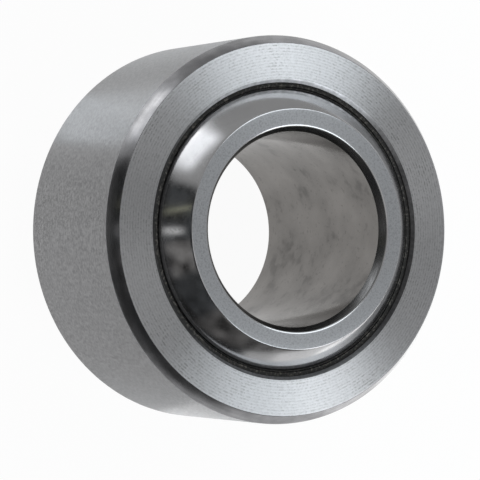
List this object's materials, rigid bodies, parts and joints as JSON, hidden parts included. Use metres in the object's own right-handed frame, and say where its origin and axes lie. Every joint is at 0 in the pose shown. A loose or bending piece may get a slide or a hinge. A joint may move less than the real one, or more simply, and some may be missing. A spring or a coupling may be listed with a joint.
{
  "type": "spherical plain bearing",
  "caption": "Plain bearing ring with a swivelling bored steel ball held in a thin woven liner, for shafts that tilt in their housing.",
  "frame": {"origin": "centre of the ball, on the bore's axis, midway between the flats", "axes": "+Z along the bore; X and Y across it, both sides alike; the ball tilts about Y"},
  "size_m": [0.0254, 0.0254, 0.0158],
  "materials": {
    "race_steel": "turned faces and ground outside, satin",
    "liner_fabric": "woven low-friction cloth, trimmed edge",
    "ball_steel": "polished sphere, ground flats and bore"
  },
  "bodies": {
    "race": {"outer_race": "race_steel", "liner": "liner_fabric"},
    "ball": {"ball": "ball_steel"}
  },
  "joints": [
    {"name": "ball_tilt", "type": "hinge", "parent": "race", "child": "ball", "pos_m": [0, 0, 0], "axis": [0, 1, 0], "range_deg": [-9, 9]}
  ]
}
